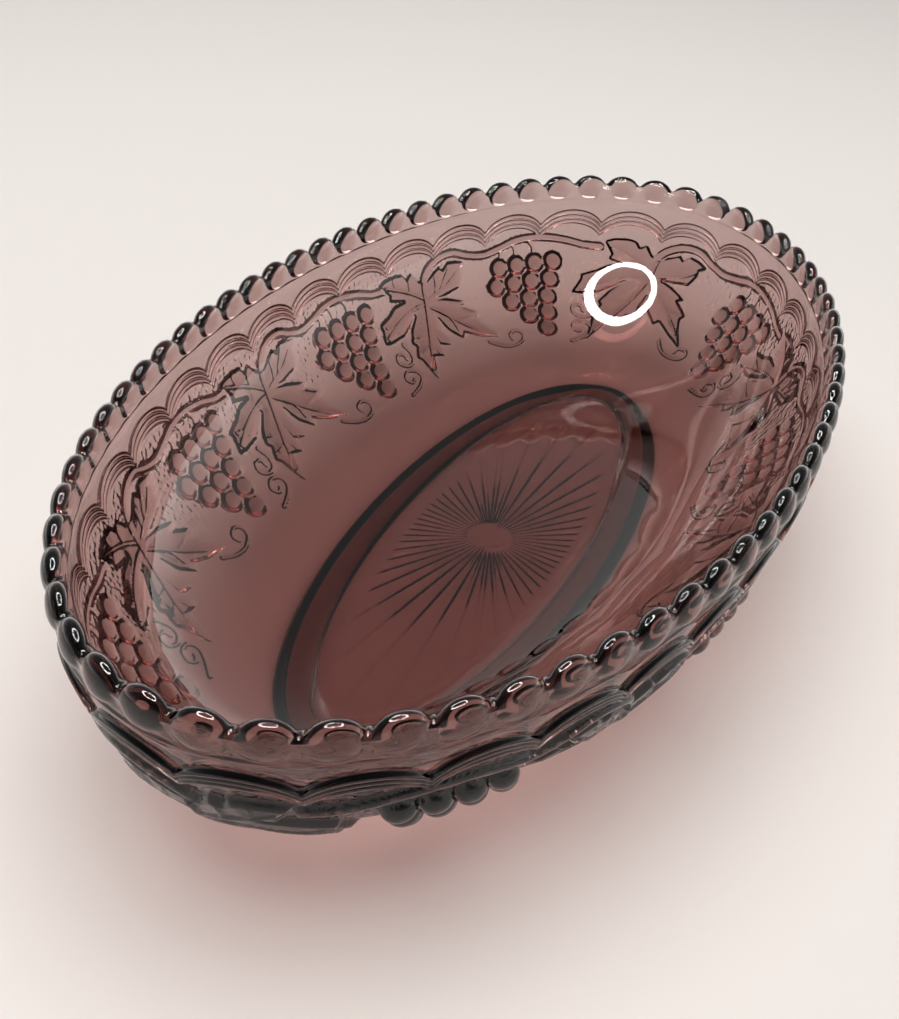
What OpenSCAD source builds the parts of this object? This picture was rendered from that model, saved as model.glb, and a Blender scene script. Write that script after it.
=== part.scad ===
/* [Bowl] */
// Length of the rim, measured between the middles of the end beads
rim_length = 224; // [180:1:228]
// Width of the rim, measured between the middles of the side beads
rim_width = 120; // [116:1:140]
// Overall height, table to the top of the beads
bowl_height = 47.5; // [42:0.5:56]
// Thickness of the wall at the rim
rim_thickness = 2.9; // [2.6:0.1:4]
// Length of the flat oval floor inside
floor_length = 132; // [127:1:144]
// Width of the flat oval floor inside
floor_width = 38; // [32:1:42]
// Thickness of the floor
floor_thickness = 6.3; // [3.5:0.1:7]

/* [Foot] */
// Height of the foot ring under the floor
foot_height = 1.2; // [1:0.1:4]
// Width of the ring's flat resting face
foot_width = 6; // [4:0.5:8]
// How far the foot ring stands outside the floor's edge
foot_spread = 8.5; // [7:0.5:10]
// Number of rays in the star under the floor
ray_count = 48; // [24:2:60]
// Radius of the plain disc in the middle of the star
star_disc = 4.4; // [3:0.2:7]

/* [Beaded rim] */
// Number of beads around the rim
bead_count = 64; // [48:8:80]
// Height of one bead
bead_height = 6; // [5:0.2:7]
// Size of one bead across the rim
bead_across = 4.2; // [4:0.1:6]
// How far the beads lean outwards from the middle of the rim
bead_lean = 0.2; // [0:0.1:0.8]
// Clear gap between neighbouring beads
bead_gap = 0.35; // [0.3:0.05:0.8]

/* [Pressed pattern] */
// Arches over each leaf and the grapes beside it
arches_per_repeat = 4; // [2:1:5]
// How far the leaves stand out of the wall
leaf_relief = 1.3; // [0.7:0.1:1.4]
// Radius of one grape, small enough to stay clear of its neighbours
grape_radius = 2.35; // [2:0.05:2.35]
// How far a grape stands out of the wall
grape_relief = 2.1; // [1.6:0.1:2.1]
// Width of the vine
vine_width = 1.9; // [1.4:0.1:2.4]
// Width of a tendril
tendril_width = 0.7; // [0.5:0.1:1]

/* [Hidden] */
// Leaf and grape repeats around the bowl, one at each end, side and corner
repeats = 8;
amethyst = [0.62, 0.42, 0.42, 0.8];
deep_amethyst = [0.42, 0.27, 0.29, 0.9];

// How deep every relief is rooted in the wall
root = 0.9;
floor_top = foot_height + floor_thickness;
// Inward travel of the wall from the middle of the rim to the floor's edge
end_run = (rim_length - floor_length) / 2;
side_run = (rim_width - floor_width) / 2;
side_share = side_run / end_run;
wall_top = bowl_height - 1.5;

// Profile of the wall as two cubic curves of [inward travel, height]
inner_curve = [
    [rim_thickness / 2, wall_top], [0.06 * end_run, 0.51 * bowl_height],
    [0.5 * end_run, 0.245 * bowl_height], [end_run, floor_top]
];
outer_curve = [
    [-rim_thickness / 2, wall_top], [-0.02 * end_run, 0.474 * bowl_height],
    [0.4 * end_run, 0.185 * bowl_height], [end_run - foot_spread + 1, foot_height + 2.6]
];

function mix(a, b, f) = a + (b - a) * f;
function cubic(c, t) = pow(1 - t, 3) * c[0] + 3 * pow(1 - t, 2) * t * c[1]
    + 3 * (1 - t) * t * t * c[2] + pow(t, 3) * c[3];

// Running length along a list of points, one value a point
function running(points) = [
    for (i = 0, s = 0; i < len(points);
        s = s + (i + 1 < len(points) ? norm(points[i + 1] - points[i]) : 0), i = i + 1) s
];
profile_steps = 60;
outer_points = [for (i = [0:profile_steps]) cubic(outer_curve, i / profile_steps)];
outer_runs = running(outer_points);
wall_run = outer_runs[profile_steps];
run_to_inward = [for (i = [0:profile_steps]) [outer_runs[i], outer_points[i][0]]];
run_to_height = [for (i = [0:profile_steps]) [outer_runs[i], outer_points[i][1]]];

// The plan at any inward travel is an ellipse; share 0 to 1 is even along its edge
function half_x(inward) = rim_length / 2 - inward;
function half_y(inward) = rim_width / 2 - side_share * inward;
function ellipse_runs(a, b) = running([for (i = [0:180]) [a * cos(2 * i), b * sin(2 * i)]]);
function share_table(inward) =
    let (runs = ellipse_runs(half_x(inward), half_y(inward)))
    [for (i = [0:180]) [runs[i] / runs[180], 2 * i]];
function flipped(table) = [for (row = table) [row[1], row[0]]];
wall_foot = outer_curve[3][0];
top_shares = share_table(0);
low_shares = share_table(wall_foot);
top_angles = flipped(top_shares);
low_angles = flipped(low_shares);
function turn(share, inward) =
    let (s = share - floor(share))
    mix(lookup(s, top_shares), lookup(s, low_shares), inward / wall_foot);
function share_at(angle, inward) =
    mix(lookup(angle, top_angles), lookup(angle, low_angles), inward / wall_foot);
// Ramanujan's length of an ellipse's edge
function edge_length(inward) =
    let (a = half_x(inward), b = half_y(inward), h = pow((a - b) / (a + b), 2))
    PI * (a + b) * (1 + 3 * h / (10 + sqrt(4 - 3 * h)));

function on_plan(angle, inward, z) = [half_x(inward) * cos(angle), -half_y(inward) * sin(angle), z];

// A point on the outside of the wall: share of the way round, run down from the rim, height out
function on_wall(share, run, out = 0) =
    let (
        inward = lookup(run, run_to_inward),
        ahead = lookup(run + 0.5, run_to_inward) - lookup(run - 0.5, run_to_inward),
        fall = lookup(run + 0.5, run_to_height) - lookup(run - 0.5, run_to_height),
        angle = turn(share, inward),
        plan = [half_y(inward) * cos(angle), -half_x(inward) * sin(angle)],
        away = plan / norm(plan) * -fall / norm([ahead, fall]) * out,
        down = -ahead / norm([ahead, fall]) * out
    )
    on_plan(angle, inward, lookup(run, run_to_height)) + [away[0], away[1], down];

// The centre line of a motif runs straight down the wall through the share at middle height
middle = 13;
function line_share(share, inward) =
    let (
        angle = turn(share, middle),
        at = [half_x(middle) * cos(angle), half_y(middle) * sin(angle)],
        away = [half_y(middle) * cos(angle), half_x(middle) * sin(angle)],
        a = [at[0] / half_x(inward), at[1] / half_y(inward)],
        b = [away[0] / half_x(inward), away[1] / half_y(inward)],
        q = (sqrt(pow(a * b, 2) - (b * b) * (a * a - 1)) - a * b) / (b * b),
        turned = atan2(a[1] + q * b[1], a[0] + q * b[0]),
        s = share_at(turned < 0 ? turned + 360 : turned, inward)
    )
    s + round(share - s);
function beside(share, x, run, out) =
    let (inward = lookup(run, run_to_inward))
    on_wall(line_share(share, inward) + x / edge_length(inward), run, out);

// Faces between closed rings of n points; the first and last rings are closed by fans
function ring_faces(rings, n) = [
    for (r = [0:rings - 2], i = [0:n - 1])
        let (a = r * n + i, b = r * n + (i + 1) % n)
        each [[a, b, a + n], [b, b + n, a + n]]
];

module between_poles(rings, first, last) {
    n = len(rings[0]);
    count = len(rings);
    points = [for (ring = rings) each ring, first, last];
    polyhedron(points = points, faces = concat(
        ring_faces(count, n),
        [for (i = [0:n - 1]) [(i + 1) % n, i, n * count]],
        [for (i = [0:n - 1]) [n * (count - 1) + i, n * (count - 1) + (i + 1) % n, n * count + 1]]
    ));
}

// A bar swept through rings of the same number of points, closed flat at both ends
module bar(rings) {
    n = len(rings[0]);
    count = len(rings);
    polyhedron(points = [for (ring = rings) each ring], faces = concat(
        ring_faces(count, n),
        [[for (i = [0:n - 1]) n - 1 - i]],
        [[for (i = [0:n - 1]) n * (count - 1) + i]]
    ));
}

// A band swept all the way round and joined to itself
module hoop(rings) {
    n = len(rings[0]);
    count = len(rings);
    polyhedron(points = [for (ring = rings) each ring], faces = [
        for (r = [0:count - 1], i = [0:n - 1])
            let (a = r * n + i, b = r * n + (i + 1) % n, c = (r + 1) % count * n)
            each [[a, b, c + i], [b, c + (i + 1) % n, c + i]]
    ]);
}

// Smooth points through a path of [x, run] pairs
function smooth(path, steps) = [
    for (i = [0:len(path) - 2], k = [0:steps - 1])
        let (
            t = k / steps,
            a = path[max(i - 1, 0)], b = path[i], c = path[i + 1],
            d = path[min(i + 2, len(path) - 1)]
        )
        0.5 * (2 * b + (c - a) * t + (2 * a - 5 * b + 4 * c - d) * t * t
            + (3 * b - 3 * c + d - a) * pow(t, 3)),
    path[len(path) - 1]
];

// A rounded ridge that follows a path on the wall
module ridge(share, path, width, relief) {
    count = len(path);
    bar([
        for (i = [0:count - 1])
            let (
                step = path[min(i + 1, count - 1)] - path[max(i - 1, 0)],
                side = [-step[1], step[0]] / norm(step) * width / 2
            )
            [
                for (k = [[-1, -root], [-0.8, 0.45 * relief], [0, relief], [0.8, 0.45 * relief], [1, -root]])
                    beside(share, path[i][0] + k[0] * side[0], path[i][1] + k[0] * side[1], k[1])
            ]
    ]);
}

wall_steps = 80;
module bowl_shell() {
    // The wall stops a little below the top of its curves, so that the beads stand clear of it
    start = 0.025;
    outer_rings = [for (k = [0:11]) cubic(outer_curve, mix(1, start, k / 11))];
    inner_rings = [for (k = [0:11]) cubic(inner_curve, mix(start, 1, k / 11))];
    underside = [end_run - foot_spread + foot_width, foot_height];
    crown_half = 0.31 * rim_thickness;
    crown_height = bowl_height - 2.2;
    crown = [[-crown_half, crown_height], [crown_half, crown_height]];
    // From under the floor up the outside, over the rim and down the inside
    section = concat([underside], outer_rings, crown, inner_rings);
    color(amethyst)
        between_poles(
            [for (p = section) [for (i = [0:wall_steps - 1]) on_plan(i * 360 / wall_steps, p[0], p[1])]],
            [0, 0, foot_height],
            [0, 0, floor_top]
        );
}

module oval(inward, steps = 96) {
    polygon([
        for (i = [0:steps - 1])
            [half_x(inward) * cos(i * 360 / steps), half_y(inward) * sin(i * 360 / steps)]
    ]);
}

module foot_ring() {
    outside = end_run - foot_spread;
    color(deep_amethyst)
        linear_extrude(height = foot_height + 3.4)
            difference() {
                oval(outside);
                oval(outside + foot_width);
            }
}

// Rays that grow wider outwards, joined by the plain disc in the middle
module ray_star() {
    reach_x = floor_length / 2 - 3;
    reach_y = floor_width / 2 - 2;
    ray_depth = 0.6;
    narrow = 0.12;
    color(deep_amethyst)
        translate([0, 0, foot_height - ray_depth])
            linear_extrude(height = ray_depth + root)
                polygon([
                    for (i = [0:ray_count - 1])
                        let (
                            a = (i + 0.5) * 360 / ray_count,
                            ahead = [cos(a), sin(a)],
                            side = [-sin(a), cos(a)],
                            reach = 1 / norm([cos(a) / reach_x, sin(a) / reach_y]),
                            wide = 0.1 + 0.014 * reach
                        )
                        each [
                            star_disc * ahead - narrow * side, reach * ahead - wide * side,
                            reach * ahead + wide * side, star_disc * ahead + narrow * side
                        ]
                ]);
}

// Beads sit edge to edge over the rim, each an ellipsoid turned to face across the wall
module rim_beads() {
    bead_along = edge_length(0) / bead_count - bead_gap;
    color(deep_amethyst)
        for (i = [0:bead_count - 1]) {
            angle = turn((i + 0.5) / bead_count, 0);
            place = on_plan(angle, -bead_lean, bowl_height - bead_height / 2);
            heading = atan2(-rim_length * sin(angle), rim_width * cos(angle));
            translate(place)
                rotate(heading)
                    scale([bead_across / 2, bead_along / 2, bead_height / 2])
                        sphere(r = 1, $fn = 48);
        }
}

// The fine raised line around the plain band under the beads
module band_line() {
    line_run = 5.2;
    color(deep_amethyst)
        hoop([
            for (i = [0:95])
                [
                    for (k = [[-0.3, -root], [-0.15, 0.3], [0.15, 0.3], [0.3, -root]])
                        on_wall(i / 96, line_run + k[0], k[1])
                ]
        ]);
}

// Scalloped arches in three stepped ridges, with their cusps pointing down
module arch_band() {
    arch_count = repeats * arches_per_repeat;
    pieces = 6;
    crest_run = 7.8;
    arch_drop = 3.5;
    ridge_pitch = 1.2;
    section = [
        [-0.2, -root], [0, 0.8],
        [0.7 * ridge_pitch, 0.35], [ridge_pitch, 0.8],
        [1.7 * ridge_pitch, 0.35], [2 * ridge_pitch, 0.8],
        [2.8 * ridge_pitch, 0.4], [3 * ridge_pitch, -root]
    ];
    color(deep_amethyst)
        hoop([
            for (i = [0:arch_count * pieces - 1])
                let (
                    across = 2 * (i % pieces) / pieces - 1,
                    run = crest_run + arch_drop * (1 - sqrt(1 - 0.85 * across * across)) / (1 - sqrt(0.15))
                )
                [for (k = section) on_wall(i / (arch_count * pieces), run + k[0], k[1])]
        ]);
}

// Branch from each leaf's stem over the grapes to the next leaf
vine_path = [
    [-0.4, 21], [0.6, 18.2], [3, 15.9], [6.5, 14.4], [10.5, 14.3], [14.5, 15.9], [19, 16.8],
    [24, 15.9], [29, 14.6], [35, 14.5], [41, 15.6], [46, 17.2], [50, 17.6]
];
// The branch is drawn for a repeat of this length and stretches to reach the next leaf
drawn_pitch = 65;
module vine() {
    vine_inward = lookup(16, run_to_inward);
    color(deep_amethyst)
        for (i = [0:repeats - 1]) {
            share = i / repeats;
            reach = line_share(share + 1 / repeats, vine_inward) - line_share(share, vine_inward);
            stretch = reach * edge_length(vine_inward) / drawn_pitch;
            ridge(share, [for (p = smooth(vine_path, 2)) [p[0] * stretch, p[1]]], vine_width, 0.9);
        }
}

// Outline of the leaf about its hub, lobe by lobe, as [x, run]
leaf_hub = [-0.8, 24.8];
leaf_outline = [
    [0.6, 19.4], [3.4, 18.1], [6, 16.9], [7.2, 17.8], [9.2, 16.3], [12, 16.6], [14.6, 17.5],
    [12.6, 18.8], [12.4, 20.6], [10.6, 23.4], [6, 24.2], [3, 24.6],
    [6.5, 25.9], [10.6, 27.7], [8.8, 28.6], [12.8, 31.6], [11.6, 33], [12.4, 35.8],
    [15, 40.2], [10, 38.4], [6, 35.8], [4.6, 37.2], [2, 34], [0.4, 29.8],
    [-0.6, 33.4], [-0.2, 37.6], [-3, 36.6], [-4.2, 39.8], [-7, 38.8], [-10.4, 45.2],
    [-11.2, 38.6], [-12.2, 37.2], [-10.4, 34.4], [-11.4, 33.2], [-9.4, 29.8], [-6.4, 26.8],
    [-12.6, 30.4], [-17, 30.8], [-19.6, 30.4], [-18.4, 26.8], [-18.6, 25.4], [-14.8, 24.2],
    [-12, 22.6], [-8, 22.2], [-12.6, 20.8], [-12, 19.6], [-14.8, 16.2], [-12.6, 15.4],
    [-9, 15.2], [-6.6, 15.6], [-5.2, 17.2], [-3.6, 16.2], [-1.6, 18.6]
];
module leaf(index) {
    share = (index - 1) / repeats;
    // Rings from the hub to the edge, over the edge and back under to the hub
    layers = [
        [0.45, leaf_relief], [0.8, leaf_relief], [1, 0.55 * leaf_relief], [1, -root], [0.6, -root]
    ];
    color(deep_amethyst)
        between_poles(
            [
                for (layer = layers)
                    [
                        for (p = leaf_outline)
                            let (q = mix(leaf_hub, p, layer[0]))
                            beside(share, q[0], q[1], layer[1])
                    ]
            ],
            beside(share, leaf_hub[0], leaf_hub[1], leaf_relief),
            beside(share, leaf_hub[0], leaf_hub[1], -root)
        );
}

// Rows of a bunch as [number of grapes, middle of the row, run]
grape_rows = [[4, 0.9, 21.2], [4, -1.1, 26.15], [3, -0.2, 31.1], [2, 0.6, 36.05], [1, 1.6, 41]];
grape_pitch = 5.5;
// Three short stems between the branch and the top grapes
stem_paths = [
    [[-6.6, 16.9], [-6.3, 17.4], [-6.7, 18]],
    [[-2.4, 15.9], [-1.7, 16.9], [-1.9, 18]],
    [[2.7, 15.9], [3.6, 16.9], [3.4, 18]]
];
module grape_cluster(index) {
    share = (index - 0.5) / repeats;
    color(deep_amethyst) {
        for (row = grape_rows)
            for (i = [0:row[0] - 1])
                translate(beside(share, row[1] + grape_pitch * (i - (row[0] - 1) / 2), row[2],
                        grape_relief - grape_radius))
                    sphere(r = grape_radius, $fn = 40);
        for (path = stem_paths)
            ridge(share, path, 0.9, 0.6);
    }
}

// Three curls around each bunch, as [x, run] from the bunch's centre line
curl_paths = [
    [[-17, 41], [-13.5, 43.4], [-10, 44.3], [-6.8, 43.4], [-6, 41.2], [-7.6, 39.8], [-9.8, 40.6], [-9.6, 42.2]],
    [[15.4, 32.4], [16, 35.5], [15, 37.8], [12.6, 38.3], [10.8, 36.6], [11.6, 34.6], [13.6, 34.8], [13.6, 36.4]],
    [[7, 46], [11, 44.8], [13.6, 43], [13.6, 40.6], [11.2, 39.6], [9.2, 41], [9.8, 42.8], [11.4, 42.4]]
];
module tendrils(index) {
    share = (index - 0.5) / repeats;
    color(deep_amethyst)
        for (path = curl_paths)
            ridge(share, smooth(path, 2), tendril_width, 0.5);
}

bowl_shell();
foot_ring();
ray_star();
rim_beads();
band_line();
arch_band();
vine();
for (i = [1:repeats]) {
    leaf(i);
    grape_cluster(i);
    tendrils(i);
}
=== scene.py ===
"""An oval bowl of pressed amethyst glass on a pale table.

The glass is one closed mesh, because the real bowl is one casting. Its rows run from the
middle of the floor up the inside, over the beads, down the patterned outside, round the foot
ring and under the floor to the middle again. Its columns are even shares of the way round.
Lengths are in millimetres until a mesh is made.
"""
import math

import bpy
import numpy as np
from mathutils import Matrix, Vector


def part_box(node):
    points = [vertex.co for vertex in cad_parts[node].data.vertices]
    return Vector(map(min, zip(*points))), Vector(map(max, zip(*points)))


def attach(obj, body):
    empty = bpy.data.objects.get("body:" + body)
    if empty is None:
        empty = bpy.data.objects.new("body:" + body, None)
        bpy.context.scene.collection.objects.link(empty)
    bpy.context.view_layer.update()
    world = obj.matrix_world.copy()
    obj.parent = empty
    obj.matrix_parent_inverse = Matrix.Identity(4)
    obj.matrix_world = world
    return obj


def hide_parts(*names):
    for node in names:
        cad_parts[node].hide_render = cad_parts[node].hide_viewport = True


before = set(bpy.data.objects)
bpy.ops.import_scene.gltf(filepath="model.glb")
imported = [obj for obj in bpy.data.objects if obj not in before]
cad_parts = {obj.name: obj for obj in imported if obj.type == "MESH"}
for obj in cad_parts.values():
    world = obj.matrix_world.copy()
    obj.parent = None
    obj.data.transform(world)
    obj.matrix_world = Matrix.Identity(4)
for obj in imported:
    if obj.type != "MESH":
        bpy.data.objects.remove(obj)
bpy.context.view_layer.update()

MM = 0.001

# Driving dimensions, the same as the CAD model's
RIM_LENGTH = 224.0
RIM_WIDTH = 120.0
RIM_THICKNESS = 2.9
FLOOR_LENGTH = 132.0
FLOOR_WIDTH = 38.0
FLOOR_THICKNESS = 6.3
FOOT_HEIGHT = 1.2
FOOT_WIDTH = 6.0
FOOT_SPREAD = 8.5
BOWL_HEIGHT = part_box("rim_beads")[1][2] / MM
BEADS = 64
BEAD_HEIGHT = 6.0
BEAD_ACROSS = 4.2
BEAD_LEAN = 0.2
REPEATS = 8
ARCHES = 32
RAYS = 48
STAR_DISC = 4.4
LEAF_RELIEF = 1.5
GRAPE_RADIUS = 2.8
GRAPE_RELIEF = 2.5
GRAPE_PITCH = 5.5
VINE_WIDTH = 1.9
VINE_RELIEF = 1.15
TENDRIL_WIDTH = 0.9
TENDRIL_RELIEF = 0.55

FLOOR_TOP = FOOT_HEIGHT + FLOOR_THICKNESS
END_RUN = (RIM_LENGTH - FLOOR_LENGTH) / 2
SIDE_SHARE = (RIM_WIDTH - FLOOR_WIDTH) / 2 / END_RUN
WALL_TOP = BOWL_HEIGHT - 1.5
COLUMNS = 24 * BEADS


# ---------------------------------------------------------------- curves of the wall
def cubic(points, t):
    a, b, c, d = (np.array(p, float) for p in points)
    t = np.asarray(t, float)[..., None]
    return (1 - t) ** 3 * a + 3 * (1 - t) ** 2 * t * b + 3 * (1 - t) * t * t * c + t**3 * d


def lengths_along(points):
    steps = np.linalg.norm(np.diff(points, axis=0), axis=1)
    return np.concatenate([[0], np.cumsum(steps)])


class Profile:
    """A curve of inward travel and height, read by its running length from the rim."""

    def __init__(self, points):
        self.line = cubic(points, np.linspace(0, 1, 400))
        self.runs = lengths_along(self.line)
        self.length = self.runs[-1]

    def inward(self, run):
        return np.interp(run, self.runs, self.line[:, 0])

    def height(self, run):
        return np.interp(run, self.runs, self.line[:, 1])


inner = Profile([
    (RIM_THICKNESS / 2, WALL_TOP), (0.06 * END_RUN, 0.51 * BOWL_HEIGHT),
    (0.5 * END_RUN, 0.245 * BOWL_HEIGHT), (END_RUN, FLOOR_TOP),
])
outer = Profile([
    (-RIM_THICKNESS / 2, WALL_TOP), (-0.02 * END_RUN, 0.474 * BOWL_HEIGHT),
    (0.4 * END_RUN, 0.185 * BOWL_HEIGHT), (END_RUN - FOOT_SPREAD + 1, FOOT_HEIGHT + 2.6),
])
WALL_FOOT = END_RUN - FOOT_SPREAD + 1


def half_x(inward):
    return RIM_LENGTH / 2 - inward


def half_y(inward):
    return RIM_WIDTH / 2 - SIDE_SHARE * inward


ANGLES = np.linspace(0, 360, 361)


def share_table(inward):
    """Share of the way round an oval, for each whole degree of its angle."""
    turns = np.radians(ANGLES)
    edge = np.stack([half_x(inward) * np.cos(turns), half_y(inward) * np.sin(turns)], 1)
    runs = lengths_along(edge)
    return runs / runs[-1]


TOP_SHARES = share_table(0)
LOW_SHARES = share_table(WALL_FOOT)


def turn(share, inward):
    share = share - np.floor(share)
    f = inward / WALL_FOOT
    return np.interp(share, TOP_SHARES, ANGLES) * (1 - f) + np.interp(share, LOW_SHARES, ANGLES) * f


def share_at(angle, inward):
    f = inward / WALL_FOOT
    return np.interp(angle, ANGLES, TOP_SHARES) * (1 - f) + np.interp(angle, ANGLES, LOW_SHARES) * f


def edge_length(inward):
    a = half_x(inward)
    b = half_y(inward)
    h = ((a - b) / (a + b)) ** 2
    return math.pi * (a + b) * (1 + 3 * h / (10 + np.sqrt(4 - 3 * h)))


MIDDLE = 13.0


def line_share(share, inward):
    """Share, at each level, of a line that runs straight down the wall through one share."""
    angle = np.radians(turn(share, MIDDLE))
    at_x, at_y = half_x(MIDDLE) * np.cos(angle), half_y(MIDDLE) * np.sin(angle)
    away_x, away_y = half_y(MIDDLE) * np.cos(angle), half_x(MIDDLE) * np.sin(angle)
    a_x, a_y = at_x / half_x(inward), at_y / half_y(inward)
    b_x, b_y = away_x / half_x(inward), away_y / half_y(inward)
    ab = a_x * b_x + a_y * b_y
    bb = b_x**2 + b_y**2
    q = (np.sqrt(ab**2 - bb * (a_x**2 + a_y**2 - 1)) - ab) / bb
    turned = np.degrees(np.arctan2(a_y + q * b_y, a_x + q * b_x)) % 360
    found = share_at(turned, inward)
    return found + np.round(share - found)


# ---------------------------------------------------------------- pressed pattern
def smoothstep(low, high, x):
    t = np.clip((x - low) / (high - low), 0, 1)
    return t * t * (3 - 2 * t)


def smooth_path(points, steps=8):
    """A rounded line through a few points."""
    points = np.array(points, float)
    padded = np.vstack([points[0], points, points[-1]])
    out = []
    for a, b, c, d in zip(padded[:-3], padded[1:-2], padded[2:-1], padded[3:]):
        for t in np.arange(steps) / steps:
            out.append(0.5 * (2 * b + (c - a) * t + (2 * a - 5 * b + 4 * c - d) * t**2
                              + (3 * b - 3 * c + d - a) * t**3))
    out.append(points[-1])
    return np.array(out)


def distance_to(path, x, run):
    """Distance from each point to a line of straight pieces, and the share along it."""
    near = np.full(x.shape, 1e9)
    along = np.zeros(x.shape)
    count = len(path) - 1
    for i in range(count):
        a = path[i]
        step = path[i + 1] - a
        t = np.clip(((x - a[0]) * step[0] + (run - a[1]) * step[1]) / (step @ step), 0, 1)
        d = np.hypot(x - a[0] - t * step[0], run - a[1] - t * step[1])
        closer = d < near
        near[closer] = d[closer]
        along[closer] = (i + t[closer]) / count
    return near, along


def inside(outline, x, run):
    """Whether each point is inside a closed outline."""
    found = np.zeros(x.shape, bool)
    for a, b in zip(outline, np.roll(outline, -1, axis=0)):
        crosses = (a[1] > run) != (b[1] > run)
        if a[1] != b[1]:
            found ^= crosses & (x < (b[0] - a[0]) * (run - a[1]) / (b[1] - a[1]) + a[0])
    return found


def round_ridge(distance, width, relief):
    return relief * np.sqrt(np.clip(1 - (2 * distance / width) ** 2, 0, 1))


# All motif outlines are [distance to the right of the motif's centre line, run down the wall]
LEAF_OUTLINE = np.array([
    [0.6, 19.4], [3.4, 18.1], [6, 16.9], [7.2, 17.8], [9.2, 16.3], [12, 16.6], [14.6, 17.5],
    [12.6, 18.8], [12.4, 20.6], [10.6, 23.4], [6, 24.2], [3, 24.6],
    [6.5, 25.9], [10.6, 27.7], [8.8, 28.6], [12.8, 31.6], [11.6, 33], [12.4, 35.8],
    [15, 40.2], [10, 38.4], [6, 35.8], [4.6, 37.2], [2, 34], [0.4, 29.8],
    [-0.6, 33.4], [-0.2, 37.6], [-3, 36.6], [-4.2, 39.8], [-7, 38.8], [-10.4, 45.2],
    [-11.2, 38.6], [-12.2, 37.2], [-10.4, 34.4], [-11.4, 33.2], [-9.4, 29.8], [-6.4, 26.8],
    [-12.6, 30.4], [-17, 30.8], [-19.6, 30.4], [-18.4, 26.8], [-18.6, 25.4], [-14.8, 24.2],
    [-12, 22.6], [-8, 22.2], [-12.6, 20.8], [-12, 19.6], [-14.8, 16.2], [-12.6, 15.4],
    [-9, 15.2], [-6.6, 15.6], [-5.2, 17.2], [-3.6, 16.2], [-1.6, 18.6],
])
MIDRIB = smooth_path([
    [6.4, 15], [2.6, 17], [0.3, 19.8], [-0.8, 24.8], [-3.4, 31.5], [-7.2, 38.6], [-9.4, 42],
])
VEINS = [
    smooth_path([[-0.8, 24.8], [-5, 25], [-10.5, 26.4], [-17.4, 29.4]]),
    smooth_path([[-0.6, 23.6], [-5.4, 20.4], [-12.4, 17.4]]),
    smooth_path([[-0.6, 24.4], [4, 22.9], [8.4, 21.6], [12, 19.2]]),
    smooth_path([[-0.6, 25.4], [3.4, 28.8], [7.4, 33], [11.8, 37.2]]),
    smooth_path([[-0.4, 24.9], [4, 25.4], [9, 27.2]]),
]
SIDE_VEINS = [
    smooth_path([[-10.5, 26.4], [-13.4, 27.2], [-16.6, 26.6]]),
    smooth_path([[-8, 25.7], [-11, 28], [-13.6, 29]]),
    smooth_path([[-4, 32.8], [-7, 32.6], [-9.6, 31.6]]),
    smooth_path([[-5.4, 35.6], [-8.4, 36.4], [-10.8, 36.2]]),
    smooth_path([[-5.6, 35.9], [-4.6, 37.4], [-4.6, 38.8]]),
    smooth_path([[-3, 30.6], [-2.2, 33.2], [-2.4, 35.6]]),
    smooth_path([[4.2, 29.6], [5, 32.2], [5, 34.6]]),
    smooth_path([[6.4, 32], [9.2, 32.2], [11, 31.8]]),
    smooth_path([[8.6, 34.3], [10.6, 35.4], [11.8, 35]]),
    smooth_path([[5.4, 22.4], [7.4, 20.2], [9.4, 18]]),
    smooth_path([[3, 23.2], [4.2, 21.2], [4.4, 19.2]]),
    smooth_path([[-4.4, 21], [-4.6, 19.2], [-4.2, 17.8]]),
    smooth_path([[-7.6, 19.4], [-9, 17.8], [-9.4, 16.2]]),
]
VINE_PATH = smooth_path([
    [-0.4, 21], [0.6, 18.2], [3, 15.9], [6.5, 14.4], [10.5, 14.3], [14.5, 15.9], [19, 16.8],
    [24, 15.9], [29, 14.6], [35, 14.5], [41, 15.6], [46, 17.2], [50, 17.6],
])
VINE_PITCH = 65.0
STEMS = [
    smooth_path([[-6.6, 16], [-6.2, 17.4], [-6.9, 19]]),
    smooth_path([[-2.6, 15], [-1.7, 16.9], [-1.9, 19]]),
    smooth_path([[2.5, 15], [3.8, 16.9], [3.5, 19]]),
]
GRAPE_ROWS = [(4, 0.9, 21.2), (4, -1.1, 26.1), (3, -0.4, 31.0), (2, 1.0, 35.8), (1, 2.0, 40.6)]
CURLS = [
    smooth_path([[-17, 41], [-13.5, 43.4], [-10, 44.3], [-6.8, 43.4], [-6, 41.2], [-7.6, 39.8],
                 [-9.8, 40.6], [-9.6, 42.2]]),
    smooth_path([[15.4, 32.4], [16, 35.5], [15, 37.8], [12.6, 38.3], [10.8, 36.6], [11.6, 34.6],
                 [13.6, 34.8], [13.6, 36.4]]),
    smooth_path([[7, 46], [11, 44.8], [13.6, 43], [13.6, 40.6], [11.2, 39.6], [9.2, 41],
                 [9.8, 42.8], [11.4, 42.4]]),
]


def leaf_height(x, run):
    outline = np.vstack([LEAF_OUTLINE, LEAF_OUTLINE[:1]])
    edge, _ = distance_to(outline, x, run)
    edge = np.where(inside(LEAF_OUTLINE, x, run), edge, -edge)
    body = LEAF_RELIEF * smoothstep(-0.45, 0.7, edge)
    body *= 0.76 + 0.24 * smoothstep(0.4, 3.4, edge)
    veins = np.zeros(x.shape)
    for path, width, relief in (
        [(MIDRIB, 1.3, 0.6)] + [(p, 1.0, 0.42) for p in VEINS] + [(p, 0.7, 0.25) for p in SIDE_VEINS]
    ):
        near, along = distance_to(path, x, run)
        veins = np.maximum(veins, round_ridge(near, width * (1.15 - 0.5 * along), relief))
    return body + veins * smoothstep(-0.4, 0.6, edge)


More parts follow.
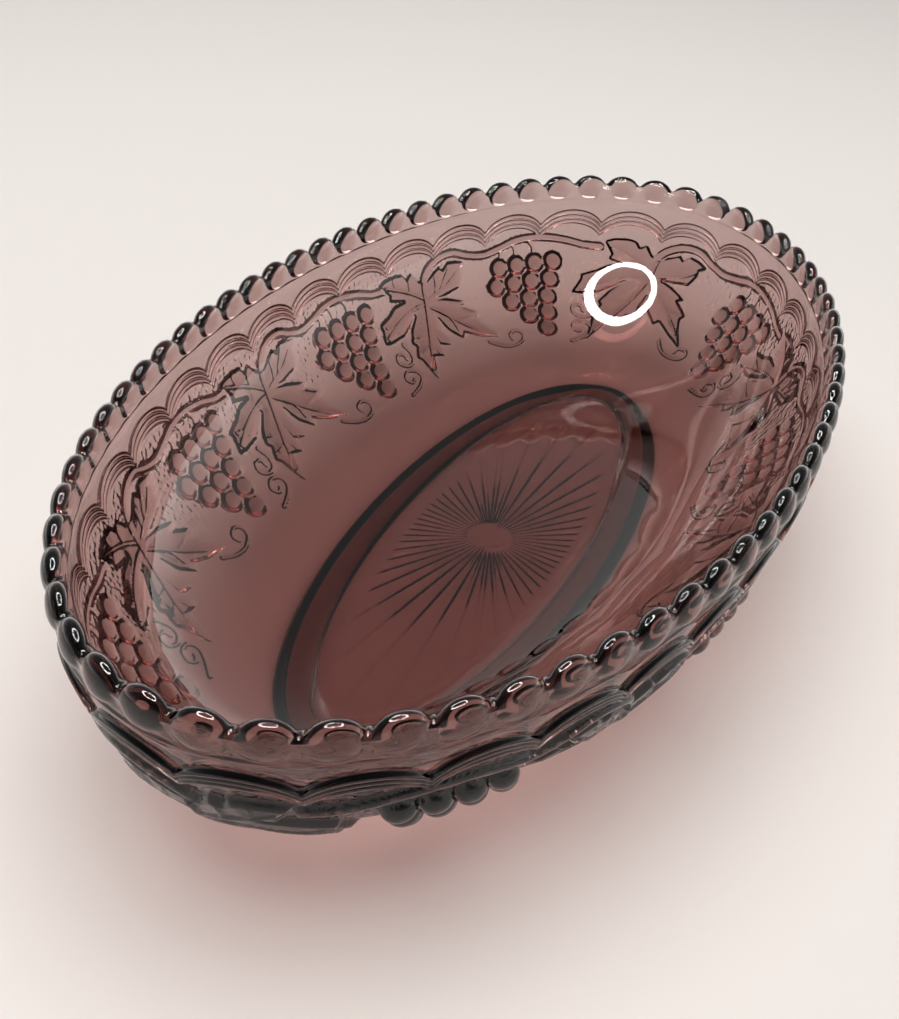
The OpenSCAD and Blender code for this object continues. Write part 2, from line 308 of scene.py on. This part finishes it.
def vine_height(x, run):
    near, _ = distance_to(VINE_PATH, x, run)
    return round_ridge(near, VINE_WIDTH + 0.3, VINE_RELIEF)


def bunch_height(x, run):
    height = np.zeros(x.shape)
    for path in STEMS:
        near, _ = distance_to(path, x, run)
        height = np.maximum(height, round_ridge(near, 1.0, 0.55))
    for path in CURLS:
        near, _ = distance_to(path, x, run)
        height = np.maximum(height, round_ridge(near, TENDRIL_WIDTH, TENDRIL_RELIEF))
    for count, middle, down in GRAPE_ROWS:
        for k in range(count):
            across = x - middle - GRAPE_PITCH * (k - (count - 1) / 2)
            square = GRAPE_RADIUS**2 - across**2 - (run - down) ** 2
            dome = GRAPE_RELIEF * np.sqrt(np.clip(square, 0, None)) / GRAPE_RADIUS
            height = np.maximum(height, dome)
    return height


ARCH_CREST = 7.8
ARCH_DROP = 3.5
RIDGE_PITCH = 1.2


def arch_drop(share):
    """How far an arch has come down from its crest, with cusps between the arches."""
    across = 2 * ((share * ARCHES) % 1) - 1
    return ARCH_DROP * (1 - np.sqrt(1 - 0.85 * across**2)) / (1 - math.sqrt(0.15))


def arch_height(share, run):
    """Three round ridges side by side along each arch."""
    below = run - ARCH_CREST - arch_drop(share)
    ridges = np.zeros(below.shape)
    for k in range(3):
        middle = (k + 0.5) * RIDGE_PITCH
        ridge = round_ridge(np.abs(below - middle), RIDGE_PITCH + 0.06, 0.95 - 0.08 * k)
        ridges = np.maximum(ridges, ridge)
    return ridges


STIPPLE_DEPTH = 0.34
STIPPLE_CELL = 1.05
STIPPLE_SPREAD = 0.36
STIPPLE_SEED = 11


def stipple(share, run):
    """Small pits, one to a cell of a grid around the wall."""
    cell = STIPPLE_CELL
    mid = 16.0
    across = share * edge_length(mid) / cell
    down = run / cell
    wide = int(round(edge_length(mid) / cell))
    tall = 60
    rng = np.random.default_rng(STIPPLE_SEED)
    off_x, off_y, depth = rng.uniform(0, 1, (3, tall, wide))
    depth = 0.25 + 0.75 * depth
    pits = np.zeros(np.broadcast(across, down).shape)
    col = np.floor(across).astype(int)
    row = np.floor(down).astype(int)
    for i in (-1, 0, 1):
        for j in (-1, 0, 1):
            c = (col + i) % wide
            r = np.clip(row + j, 0, tall - 1)
            d = np.hypot(across - (col + i) - off_x[r, c], down - (row + j) - off_y[r, c]) * cell
            pits = np.maximum(pits, depth[r, c] * np.exp(-((d / STIPPLE_SPREAD) ** 2)))
    return pits


BAND_LINE_RUN = 5.2
# Run down the wall where the length of one vine repeat is measured
VINE_LEVEL = 16


def pattern_height(shares, runs):
    """How far the glass stands out of the plain wall, for a grid of shares and runs."""
    inward = outer.inward(runs)
    round_mm = edge_length(inward)
    vine_inward = outer.inward(VINE_LEVEL)
    height = np.zeros(shares.shape)
    for i in range(REPEATS):
        centre = line_share(i / REPEATS, inward)
        x = ((shares - centre + 0.5) % 1 - 0.5) * round_mm
        reach = line_share((i + 1) / REPEATS, vine_inward) - line_share(i / REPEATS, vine_inward)
        stretch = reach * edge_length(vine_inward) / VINE_PITCH
        columns = np.any((x > -23) & (x < 56 * stretch), axis=0)
        u, v = x[:, columns], runs[:, columns]
        motif = np.maximum(leaf_height(u, v), vine_height(u / stretch, v))
        height[:, columns] = np.maximum(height[:, columns], motif)
        centre = line_share((i + 0.5) / REPEATS, inward)
        x = ((shares - centre + 0.5) % 1 - 0.5) * round_mm
        columns = np.any(np.abs(x) < 19, axis=0)
        motif = bunch_height(x[:, columns], runs[:, columns])
        height[:, columns] = np.maximum(height[:, columns], motif)
    height = np.maximum(height, arch_height(shares, runs))
    height = np.maximum(height, round_ridge(np.abs(runs - BAND_LINE_RUN), 0.7, 0.3))
    bare = 1 - smoothstep(0.02, 0.2, height)
    ground = smoothstep(11.5, 13, runs) * (1 - smoothstep(27, 38, runs)) * bare
    return height - STIPPLE_DEPTH * ground * stipple(shares, runs)


# ---------------------------------------------------------------- rows of the glass
BEAD_BASE = BOWL_HEIGHT - 3.5
BEAD_SQUARENESS = 2.2
# How softly a bead runs into the wall
BEAD_BLEND = 0.2


def swell_into_beads(share, inward, height):
    """Outward and upward shift that turns a plain rim row into a beaded one.

    A bead is a full dome over the rim that swells out past both faces of the wall.
    """
    along = 2 * ((share * BEADS) % 1) - 1
    size = np.sqrt(np.clip(1 - along**2, 0, 1))
    out = -inward - BEAD_LEAN
    up = height - BEAD_BASE
    plain = np.hypot(out, up)
    reach_out = BEAD_ACROSS / 2 - 0.04
    reach_up = np.where(up > 0, BOWL_HEIGHT - BEAD_BASE - 0.02, BEAD_HEIGHT / 2)
    power = BEAD_SQUARENESS
    span = (np.abs(out) / plain / reach_out) ** power + (np.abs(up) / plain / reach_up) ** power
    bead = size * span ** (-1 / power)
    full = (plain + bead + np.sqrt((plain - bead) ** 2 + BEAD_BLEND**2)) / 2
    gain = (full - plain) * smoothstep(-4.5, -2.4, up)
    return gain * out / plain, gain * up / plain


def place_row(share, inward, height, out=0.0, rise=0.0):
    """Points of a row at an inward travel and height, shifted out along the plan and up."""
    angle = np.radians(turn(share, inward))
    x, y = half_x(inward) * np.cos(angle), -half_y(inward) * np.sin(angle)
    away = np.stack([half_y(inward) * np.cos(angle), -half_x(inward) * np.sin(angle)], -1)
    away /= np.linalg.norm(away, axis=-1, keepdims=True)
    return np.stack([x + away[:, 0] * out, y + away[:, 1] * out, height + 0 * x + rise], -1)


def build_rows():
    share = (np.arange(COLUMNS) + 0.5) / COLUMNS
    rows = []

    # Floor inside, out from the middle; the edge of the floor is a soft step
    edge = place_row(share, END_RUN + 0.6, FLOOR_TOP - 0.35)
    for f in (0.06, 0.14, 0.28, 0.42, 0.56, 0.7, 0.82, 0.92, 0.97, 1):
        rows.append(edge * [f, f, 1])
    rows.append(place_row(share, END_RUN + 0.2, FLOOR_TOP - 0.28))

    # Inside of the wall, up to the beads
    rim_start = 1.4
    up_runs = np.concatenate([
        np.linspace(inner.length - 0.4, 6.6, 26), np.arange(6.0, rim_start, -0.38),
    ])
    for run in up_runs:
        inward, height = inner.inward(run), inner.height(run)
        out, rise = swell_into_beads(share, inward, height)
        rows.append(place_row(share, inward, height, out, rise))

    # Over the rim
    rim_height = outer.height(rim_start)
    crown_rise = 0.75
    for turn_over in np.linspace(0, math.pi, 17):
        inward = RIM_THICKNESS / 2 * math.cos(turn_over)
        height = rim_height + crown_rise * math.sin(turn_over)
        out, rise = swell_into_beads(share, inward, height)
        rows.append(place_row(share, inward, height, out, rise))

    # Outside of the wall with its pattern; rows near the arches follow them
    levels = np.concatenate([
        np.arange(rim_start + 0.3, 6.3, 0.3), np.arange(6.3, 12.2, 0.14),
        np.arange(12.2, 46.8, 0.34), np.linspace(46.8, outer.length - 4.8, 8),
    ])
    shares, runs = np.meshgrid(share, levels)
    follow = smoothstep(5.4, 6.4, runs) * (1 - smoothstep(11, 24, runs))
    runs = runs + follow * arch_drop(shares)
    relief = pattern_height(shares, runs)
    inward, height = outer.inward(runs), outer.height(runs)
    ahead = outer.inward(runs + 0.5) - outer.inward(runs - 0.5)
    fall = outer.height(runs + 0.5) - outer.height(runs - 0.5)
    size = np.hypot(ahead, fall)
    out, rise = swell_into_beads(shares, inward, height)
    out = out - relief * fall / size
    rise = rise - relief * ahead / size
    for row in range(len(levels)):
        rows.append(place_row(share, inward[row], height[row], out[row], rise[row]))

    # Foot ring: a fillet under the wall, its outer side, the resting face and its inner side
    foot_out = END_RUN - FOOT_SPREAD
    foot_in = foot_out + FOOT_WIDTH
    for inward, height in (
        (foot_out - 0.35, 3.8), (foot_out - 0.08, 3.1), (foot_out, 2.4), (foot_out, 1.5),
        (foot_out, 0.7), (foot_out + 0.2, 0.2), (foot_out + 0.7, 0.0), (foot_out + 3, 0.0),
        (foot_in - 0.5, 0.0), (foot_in - 0.15, 0.12), (foot_in, 0.4),
        (foot_in + 0.05, FOOT_HEIGHT - 0.45), (foot_in + 0.2, FOOT_HEIGHT - 0.15),
        (foot_in + 0.7, FOOT_HEIGHT),
    ):
        rows.append(place_row(share, inward, height))

    # Under the floor, with the star of rays
    edge = place_row(share, foot_in + 0.7, FOOT_HEIGHT)
    for f in np.concatenate([np.linspace(0.985, 0.1, 46), [0.08, 0.05, 0.02]]):
        row = edge * [f, f, 1]
        row[:, 2] -= ray_depth(row[:, 0], row[:, 1])
        rows.append(row)
    return share, np.array(rows)


RAY_DEPTH = 0.36


def ray_depth(x, y):
    """How far the star stands down from the underside at each point."""
    radius = np.hypot(x, y)
    angle = np.arctan2(y, x)
    off = (angle * RAYS / (2 * math.pi)) % 1 - 0.5
    distance = np.abs(off) * 2 * math.pi / RAYS * radius
    wide = 0.36 + 0.03 * radius
    ray = 0.5 + 0.5 * np.cos(math.pi * np.clip(distance / wide, 0, 1))
    reach = np.hypot(x / (FLOOR_LENGTH / 2 - 3), y / (FLOOR_WIDTH / 2 - 2))
    ray *= 1 - 0.45 * smoothstep(0.2, 0.9, reach) - 0.55 * smoothstep(0.9, 1.0, reach)
    ray *= smoothstep(STAR_DISC, STAR_DISC + 2, radius)
    disc = 1 - smoothstep(STAR_DISC - 1.6, STAR_DISC + 0.4, radius)
    return RAY_DEPTH * np.maximum(ray, 0.6 * disc)


def glass_mesh():
    share, rows = build_rows()
    count, columns = rows.shape[:2]
    points = rows.reshape(-1, 3)
    first = [0, 0, rows[0, 0, 2]]
    last = [0, 0, rows[-1, :, 2].mean()]
    points = np.vstack([points, first, last]) * MM
    start, end = len(points) - 2, len(points) - 1
    here = np.arange(columns)
    ahead = (here + 1) % columns
    row = np.arange(count - 1)[:, None] * columns
    quads = np.stack([row + here, row + ahead, row + columns + ahead, row + columns + here], -1)
    fan_in = np.stack([ahead, here, np.full(columns, start)], -1)
    base = (count - 1) * columns
    fan_out = np.stack([base + here, base + ahead, np.full(columns, end)], -1)
    faces = quads.reshape(-1, 4).tolist() + fan_in.tolist() + fan_out.tolist()
    mesh = bpy.data.meshes.new("pressed_glass_bowl")
    mesh.from_pydata(points.tolist(), [], faces)
    mesh.shade_smooth()

    # UV: share of the way round, and share of the way along the section
    along = lengths_along(rows[:, 0]) / lengths_along(rows[:, 0])[-1]
    uv = np.stack(np.meshgrid(share, along), -1).reshape(-1, 2)
    uv = np.vstack([uv, [0.5, 0], [0.5, 1]])
    layer = mesh.uv_layers.new(name="UVMap")
    corners = np.empty(len(mesh.loops), int)
    mesh.loops.foreach_get("vertex_index", corners)
    layer.data.foreach_set("uv", uv[corners].ravel())
    return mesh


# ---------------------------------------------------------------- materials
def amethyst_glass():
    """Clear purple glass; the colour comes from the depth of glass that light crosses."""
    material = bpy.data.materials.new("amethyst_glass")
    material.use_nodes = True
    nodes, links = material.node_tree.nodes, material.node_tree.links
    surface = nodes["Principled BSDF"]
    surface.inputs["Base Color"].default_value = (1, 1, 1, 1)
    surface.inputs["Transmission Weight"].default_value = 1
    surface.inputs["Roughness"].default_value = 0.015
    surface.inputs["IOR"].default_value = 1.51
    depth = nodes.new("ShaderNodeVolumeAbsorption")
    depth.inputs["Color"].default_value = (0.45, 0.16, 0.12, 1)
    depth.inputs["Density"].default_value = 320
    links.new(depth.outputs["Volume"], nodes["Material Output"].inputs["Volume"])
    return material


def pale_table():
    material = bpy.data.materials.new("pale_table")
    material.use_nodes = True
    surface = material.node_tree.nodes["Principled BSDF"]
    surface.inputs["Base Color"].default_value = (0.83, 0.79, 0.76, 1)
    surface.inputs["Roughness"].default_value = 0.6
    surface.inputs["Specular IOR Level"].default_value = 0.2
    return material


# ---------------------------------------------------------------- stage and lights
def floor():
    # A hair below the foot, so that the two faces do not fight
    below = (0, 0, -0.00012)
    bpy.ops.mesh.primitive_circle_add(vertices=96, radius=4, fill_type="NGON", location=below)
    table = bpy.context.object
    table.name = "table"
    table.data.materials.append(pale_table())


def area_light(name, place, aim, size, power, colour=(1, 1, 1)):
    light = bpy.data.lights.new(name, "AREA")
    light.shape = "DISK"
    light.size = size
    light.energy = power
    light.color = colour
    lamp = bpy.data.objects.new(name, light)
    lamp.location = place
    lamp.visible_glossy = False
    lamp.rotation_euler = (Vector(aim) - Vector(place)).to_track_quat("-Z", "Y").to_euler()
    bpy.context.collection.objects.link(lamp)
    return lamp


def world_light():
    """A bright horizon, brightest behind the bowl, under a dim room."""
    world = bpy.data.worlds.new("soft_room")
    world.use_nodes = True
    nodes, links = world.node_tree.nodes, world.node_tree.links
    background = nodes["Background"]
    place = nodes.new("ShaderNodeTexCoord")
    split = nodes.new("ShaderNodeSeparateXYZ")
    ramp = nodes.new("ShaderNodeValToRGB")
    links.new(place.outputs["Generated"], split.inputs["Vector"])
    links.new(split.outputs["Z"], ramp.inputs["Fac"])
    toward = nodes.new("ShaderNodeVectorMath")
    toward.operation = "DOT_PRODUCT"
    toward.inputs[1].default_value = (0.93, 0.37, 0)
    links.new(place.outputs["Generated"], toward.inputs[0])
    side = nodes.new("ShaderNodeMapRange")
    side.inputs["From Min"].default_value = -0.7
    side.inputs["From Max"].default_value = 0.8
    side.inputs["To Min"].default_value = 0.35
    side.inputs["To Max"].default_value = 1.5
    links.new(toward.outputs["Value"], side.inputs["Value"])
    links.new(ramp.outputs["Color"], background.inputs["Color"])
    strength = nodes.new("ShaderNodeMath")
    strength.operation = "MULTIPLY"
    strength.inputs[1].default_value = 2.0
    links.new(side.outputs["Result"], strength.inputs[0])
    links.new(strength.outputs["Value"], background.inputs["Strength"])
    stops = ramp.color_ramp.elements
    stops[0].position = 0.0
    stops[0].color = (1, 0.98, 0.96, 1)
    stops[1].position = 0.6
    stops[1].color = (0.1, 0.1, 0.1, 1)
    for height, glow in ((0.12, 0.8), (0.3, 0.25)):
        stop = stops.new(height)
        stop.color = (glow, 0.98 * glow, 0.96 * glow, 1)
    bpy.context.scene.world = world


def glowing(name, points, faces, place, strength):
    """A flat lamp that shows in the glass as a bright shape."""
    mesh = bpy.data.meshes.new(name)
    mesh.from_pydata(points.tolist(), [], faces)
    glow = bpy.data.materials.new(name + "_glow")
    glow.use_nodes = True
    surface = glow.node_tree.nodes["Principled BSDF"]
    surface.inputs["Emission Color"].default_value = (1, 0.98, 0.95, 1)
    surface.inputs["Emission Strength"].default_value = strength
    mesh.materials.append(glow)
    lamp = bpy.data.objects.new(name, mesh)
    lamp.location = place
    lamp.visible_camera = False
    lamp.visible_diffuse = False
    bpy.context.collection.objects.link(lamp)


def ring_lamp(place, radius, width, strength):
    turns = np.linspace(0, 2 * math.pi, 64, endpoint=False)
    circle = np.stack([np.cos(turns), np.sin(turns), 0 * turns], -1)
    points = np.vstack([circle * (radius - width / 2), circle * (radius + width / 2)])
    faces = [(i, (i + 1) % 64, 64 + (i + 1) % 64, 64 + i) for i in range(64)]
    glowing("ring_lamp", points, faces, place, strength)


def bar_lamp(place, width, length, strength):
    corners = [[-width, -length, 0], [width, -length, 0], [width, length, 0], [-width, length, 0]]
    points = np.array(corners) / 2
    glowing("bar_lamp", points, [(0, 1, 2, 3)], place, strength)


# ---------------------------------------------------------------- camera
def camera():
    place = Vector((-213.76, -77.76, 161.63)) * MM
    azimuth, elevation, roll = (math.radians(a) for a in (-157.771, 33.618, 4.324))
    forward = Vector((
        -math.cos(azimuth) * math.cos(elevation),
        -math.sin(azimuth) * math.cos(elevation),
        -math.sin(elevation),
    ))
    level_right = forward.cross(Vector((0, 0, 1))).normalized()
    level_up = level_right.cross(forward)
    right = math.cos(roll) * level_right + math.sin(roll) * level_up
    up = math.cos(roll) * level_up - math.sin(roll) * level_right
    data = bpy.data.cameras.new("camera")
    data.sensor_fit = "HORIZONTAL"
    data.sensor_width = 36
    data.lens = 52.55
    data.clip_start = 0.01
    eye = bpy.data.objects.new("camera", data)
    turned = Matrix((right, up, -forward)).transposed().to_4x4()
    eye.matrix_world = Matrix.Translation(place) @ turned
    bpy.context.collection.objects.link(eye)
    bpy.context.scene.camera = eye


camera()

bowl = bpy.data.objects.new("pressed_glass_bowl", glass_mesh())
bpy.context.collection.objects.link(bowl)
bowl.data.materials.append(amethyst_glass())
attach(bowl, "root")
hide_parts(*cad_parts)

floor()
world_light()
area_light("overhead", (-0.1, 0, 0.9), (0, 0, 0), 1.1, 10.2, (1, 0.98, 0.96))
ring_lamp((-0.042, -0.004, 0.42), 0.155, 0.036, 30)
bar_lamp((-0.175, 0.0, 0.42), 0.012, 0.2, 20)
bpy.context.scene.view_settings.view_transform = "Standard"
